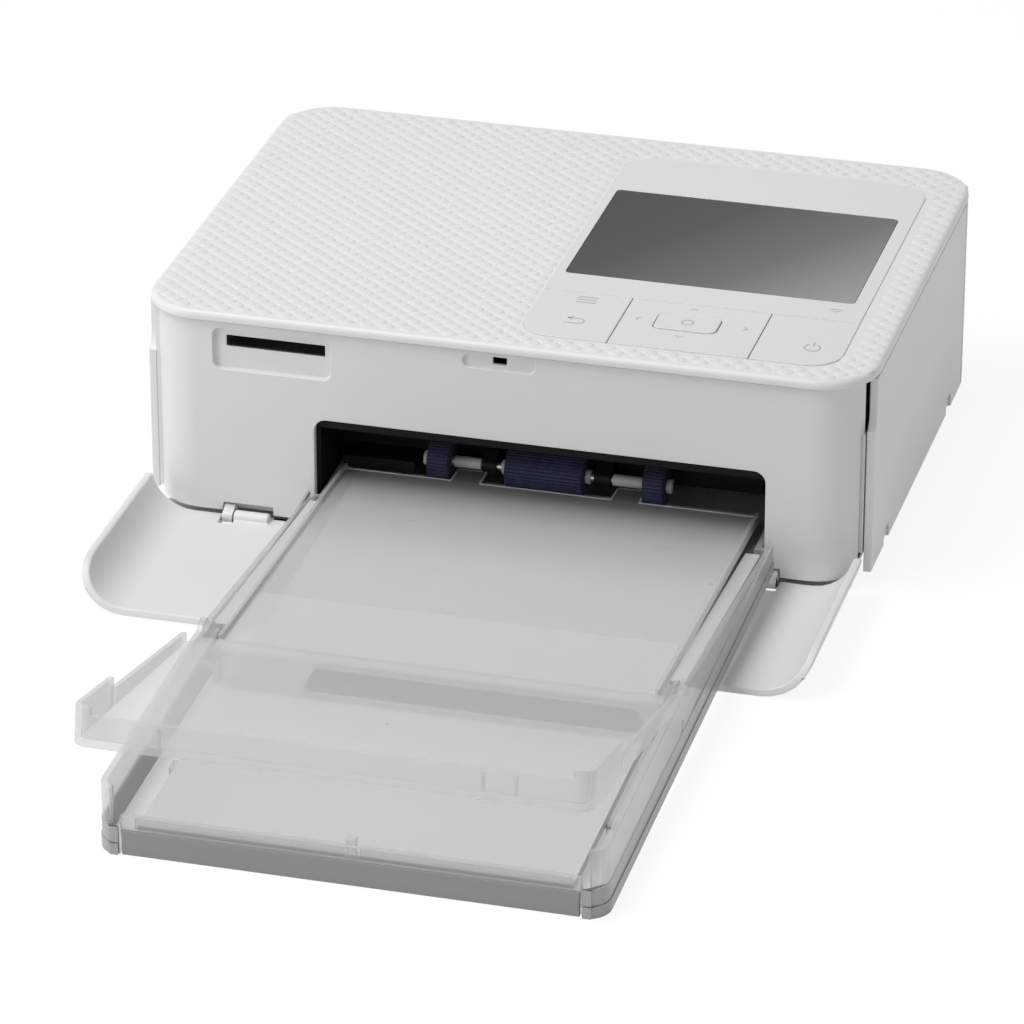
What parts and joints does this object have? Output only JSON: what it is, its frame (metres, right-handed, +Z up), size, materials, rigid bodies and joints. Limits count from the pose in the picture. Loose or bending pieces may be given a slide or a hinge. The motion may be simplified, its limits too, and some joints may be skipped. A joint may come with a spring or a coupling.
{
  "type": "compact photo printer",
  "caption": "Compact dye-sublimation photo printer with a top operation panel, drop-down front door and a slide-in paper cassette with a raised output lid.",
  "frame": {"origin": "middle of the whole footprint, on the table the printer stands on", "axes": "+Z up, -Y out of the printer's front and along its paper cassette, +X to the right seen from the front"},
  "size_m": [0.1822, 0.31, 0.0575],
  "materials": {
    "white_shell": "smooth white moulded plastic, satin",
    "textured_top": "white moulded plastic with a raised woven grain",
    "panel_white": "smooth glossy white plastic",
    "screen_glass": "dark glossy screen window",
    "screen_module": "black display module",
    "board_green": "circuit board with green solder mask",
    "socket_metal": "folded tinned sheet",
    "black_plastic": "black moulded plastic",
    "roller_rubber": "dark blue ribbed rubber",
    "steel": "ground steel shaft",
    "zinc_sheet": "zinc-plated sheet steel",
    "gear_nylon": "natural nylon",
    "motor_can": "plated motor can",
    "heat_sink_alloy": "extruded aluminium",
    "ceramic": "glazed ceramic print head",
    "ink_case": "dark grey moulded plastic",
    "ink_film": "thin dyed film",
    "spool_white": "white spool wound with film",
    "cassette_clear": "frosted translucent plastic",
    "cassette_grey": "mid-grey moulded plastic",
    "photo_paper": "stack of coated white paper",
    "foot_rubber": "black rubber foot",
    "bush_brass": "sintered bush"
  },
  "bodies": {
    "printer": {"top_cover": "textured_top", "operation_panel": "panel_white", "display_window": "screen_glass", "display_module": "screen_module", "main_board": "board_green", "key_board": "board_green", "card_socket": "socket_metal", "front_shell": "white_shell", "rear_shell": "white_shell", "power_inlet": "black_plastic", "usb_socket": "socket_metal", "bottom_case": "white_shell", "front_left_foot": "foot_rubber", "front_right_foot": "foot_rubber", "rear_left_foot": "foot_rubber", "rear_right_foot": "foot_rubber", "mouth_liner": "black_plastic", "roller_holder": "black_plastic", "left_side_frame": "zinc_sheet", "right_side_frame": "zinc_sheet", "rear_cross_bar": "zinc_sheet", "feed_bush_left": "bush_brass", "feed_bush_right": "bush_brass", "platen_bush_left": "bush_brass", "platen_bush_right": "bush_brass", "motor_bracket": "zinc_sheet", "drive_motor": "motor_can"},
    "front_door": {"front_door": "white_shell"},
    "ink_cover": {"ink_cover": "white_shell", "cover_pin_front": "steel", "cover_pin_rear": "steel"},
    "menu_key": {"menu_key": "panel_white"},
    "navigation_key": {"navigation_key": "panel_white"},
    "power_key": {"power_key": "panel_white"},
    "ok_key": {"ok_key": "panel_white"},
    "pickup_rollers": {"pickup_shaft": "steel", "pickup_roller": "roller_rubber", "paper_roller_left": "roller_rubber", "paper_roller_right": "roller_rubber"},
    "feed_roller": {"feed_roller": "steel", "feed_gear": "gear_nylon"},
    "pinch_roller": {"pinch_roller": "black_plastic"},
    "platen_roller": {"platen_roller": "roller_rubber", "platen_gear": "gear_nylon"},
    "idler_gear": {"idler_gear": "gear_nylon"},
    "motor_pinion": {"motor_pinion": "gear_nylon"},
    "thermal_head": {"thermal_head": "ceramic", "heat_sink": "heat_sink_alloy"},
    "ink_cassette": {"ink_cassette": "ink_case", "ink_ribbon": "ink_film"},
    "supply_spool": {"supply_spool": "spool_white"},
    "take_up_spool": {"take_up_spool": "spool_white"},
    "eject_lever": {"eject_lever": "black_plastic"},
    "paper_cassette": {"cassette_tray": "cassette_clear", "cassette_front_strip": "cassette_grey"},
    "lift_plate": {"lift_plate": "zinc_sheet", "paper_stack": "photo_paper"},
    "inner_lid": {"inner_lid": "cassette_clear"},
    "output_lid": {"output_lid": "cassette_clear"}
  },
  "joints": [
    {"name": "front_door_hinge", "type": "hinge", "parent": "printer", "child": "front_door", "pos_m": [0, 0.02166, 0.0024], "axis": [-1, 0, 0], "range_deg": [0, 0.75]},
    {"name": "ink_cover_hinge", "type": "hinge", "parent": "printer", "child": "ink_cover", "pos_m": [0.0895, 0.08846, 0.0052], "axis": [0, 1, 0], "range_deg": [0, 88]},
    {"name": "menu_key_press", "type": "hinge", "parent": "printer", "child": "menu_key", "pos_m": [0, 0.05646, 0.0565], "axis": [1, 0, 0], "range_deg": [0, 1.15], "stiffness_Nm_per_rad": 0.5, "springref_deg": -0.57},
    {"name": "navigation_key_press", "type": "hinge", "parent": "printer", "child": "navigation_key", "pos_m": [0, 0.05646, 0.0565], "axis": [1, 0, 0], "range_deg": [0, 1.15], "stiffness_Nm_per_rad": 0.5, "springref_deg": -0.57},
    {"name": "power_key_press", "type": "hinge", "parent": "printer", "child": "power_key", "pos_m": [0, 0.05646, 0.0565], "axis": [1, 0, 0], "range_deg": [0, 1.15], "stiffness_Nm_per_rad": 0.5, "springref_deg": -0.57},
    {"name": "ok_key_press", "type": "slide", "parent": "printer", "child": "ok_key", "axis": [0, 0, -1], "range_m": [0, 0.0004], "stiffness_N_per_m": 500, "springref_m": -0.0004},
    {"name": "pickup_turn", "type": "hinge", "parent": "printer", "child": "pickup_rollers", "pos_m": [0, 0.03846, 0.01645], "axis": [1, 0, 0], "continuous": true},
    {"name": "feed_turn", "type": "hinge", "parent": "printer", "child": "feed_roller", "pos_m": [0, 0.06246, 0.013], "axis": [1, 0, 0], "continuous": true},
    {"name": "platen_turn", "type": "hinge", "parent": "printer", "child": "platen_roller", "pos_m": [0, 0.10146, 0.0115], "axis": [1, 0, 0], "continuous": true},
    {"name": "pinch_turn", "type": "hinge", "parent": "printer", "child": "pinch_roller", "pos_m": [0, 0.06246, 0.0203], "axis": [1, 0, 0], "continuous": true},
    {"name": "idler_turn", "type": "hinge", "parent": "printer", "child": "idler_gear", "pos_m": [0, 0.08233, 0.02187], "axis": [1, 0, 0], "continuous": true},
    {"name": "pinion_turn", "type": "hinge", "parent": "printer", "child": "motor_pinion", "pos_m": [0, 0.06588, 0.03297], "axis": [1, 0, 0], "continuous": true},
    {"name": "thermal_head_lift", "type": "slide", "parent": "printer", "child": "thermal_head", "axis": [0, 0, 1], "range_m": [0, 0.0014]},
    {"name": "ink_cassette_slide", "type": "slide", "parent": "printer", "child": "ink_cassette", "axis": [1, 0, 0], "range_m": [0, 0.008]},
    {"name": "supply_spool_turn", "type": "hinge", "parent": "ink_cassette", "child": "supply_spool", "pos_m": [0, 0.08246, 0.034], "axis": [1, 0, 0], "continuous": true},
    {"name": "take_up_spool_turn", "type": "hinge", "parent": "ink_cassette", "child": "take_up_spool", "pos_m": [0, 0.12046, 0.034], "axis": [1, 0, 0], "continuous": true},
    {"name": "eject_lever_turn", "type": "hinge", "parent": "printer", "child": "eject_lever", "pos_m": [0.0725, 0.13496, 0.0135], "axis": [-1, 0, 0], "range_deg": [0, 15], "stiffness_Nm_per_rad": 0.02, "springref_deg": -5.73},
    {"name": "paper_cassette_slide", "type": "slide", "parent": "printer", "child": "paper_cassette", "axis": [0, -1, 0], "range_m": [0, 0.03]},
    {"name": "lift_plate_hinge", "type": "hinge", "parent": "paper_cassette", "child": "lift_plate", "pos_m": [0.0105, -0.10655, 0.00373], "axis": [-1, 0, 0], "range_deg": [0, 0.3], "stiffness_Nm_per_rad": 1, "springref_deg": -6.88},
    {"name": "inner_lid_hinge", "type": "hinge", "parent": "paper_cassette", "child": "inner_lid", "pos_m": [0.0105, -0.06977, 0.01125], "axis": [1, 0, 0], "range_deg": [0, 0.35]},
    {"name": "output_lid_hinge", "type": "hinge", "parent": "paper_cassette", "child": "output_lid", "pos_m": [0.0105, -0.06497, 0.01781], "axis": [-1, 0, 0], "range_deg": [0, 130]}
  ],
  "couplings": [
    {"joint": "platen_turn", "follows": "feed_turn", "ratio": 1},
    {"joint": "pinch_turn", "follows": "feed_turn", "ratio": -1.3333},
    {"joint": "idler_turn", "follows": "feed_turn", "ratio": -0.36},
    {"joint": "pinion_turn", "follows": "feed_turn", "ratio": 1.5}
  ]
}
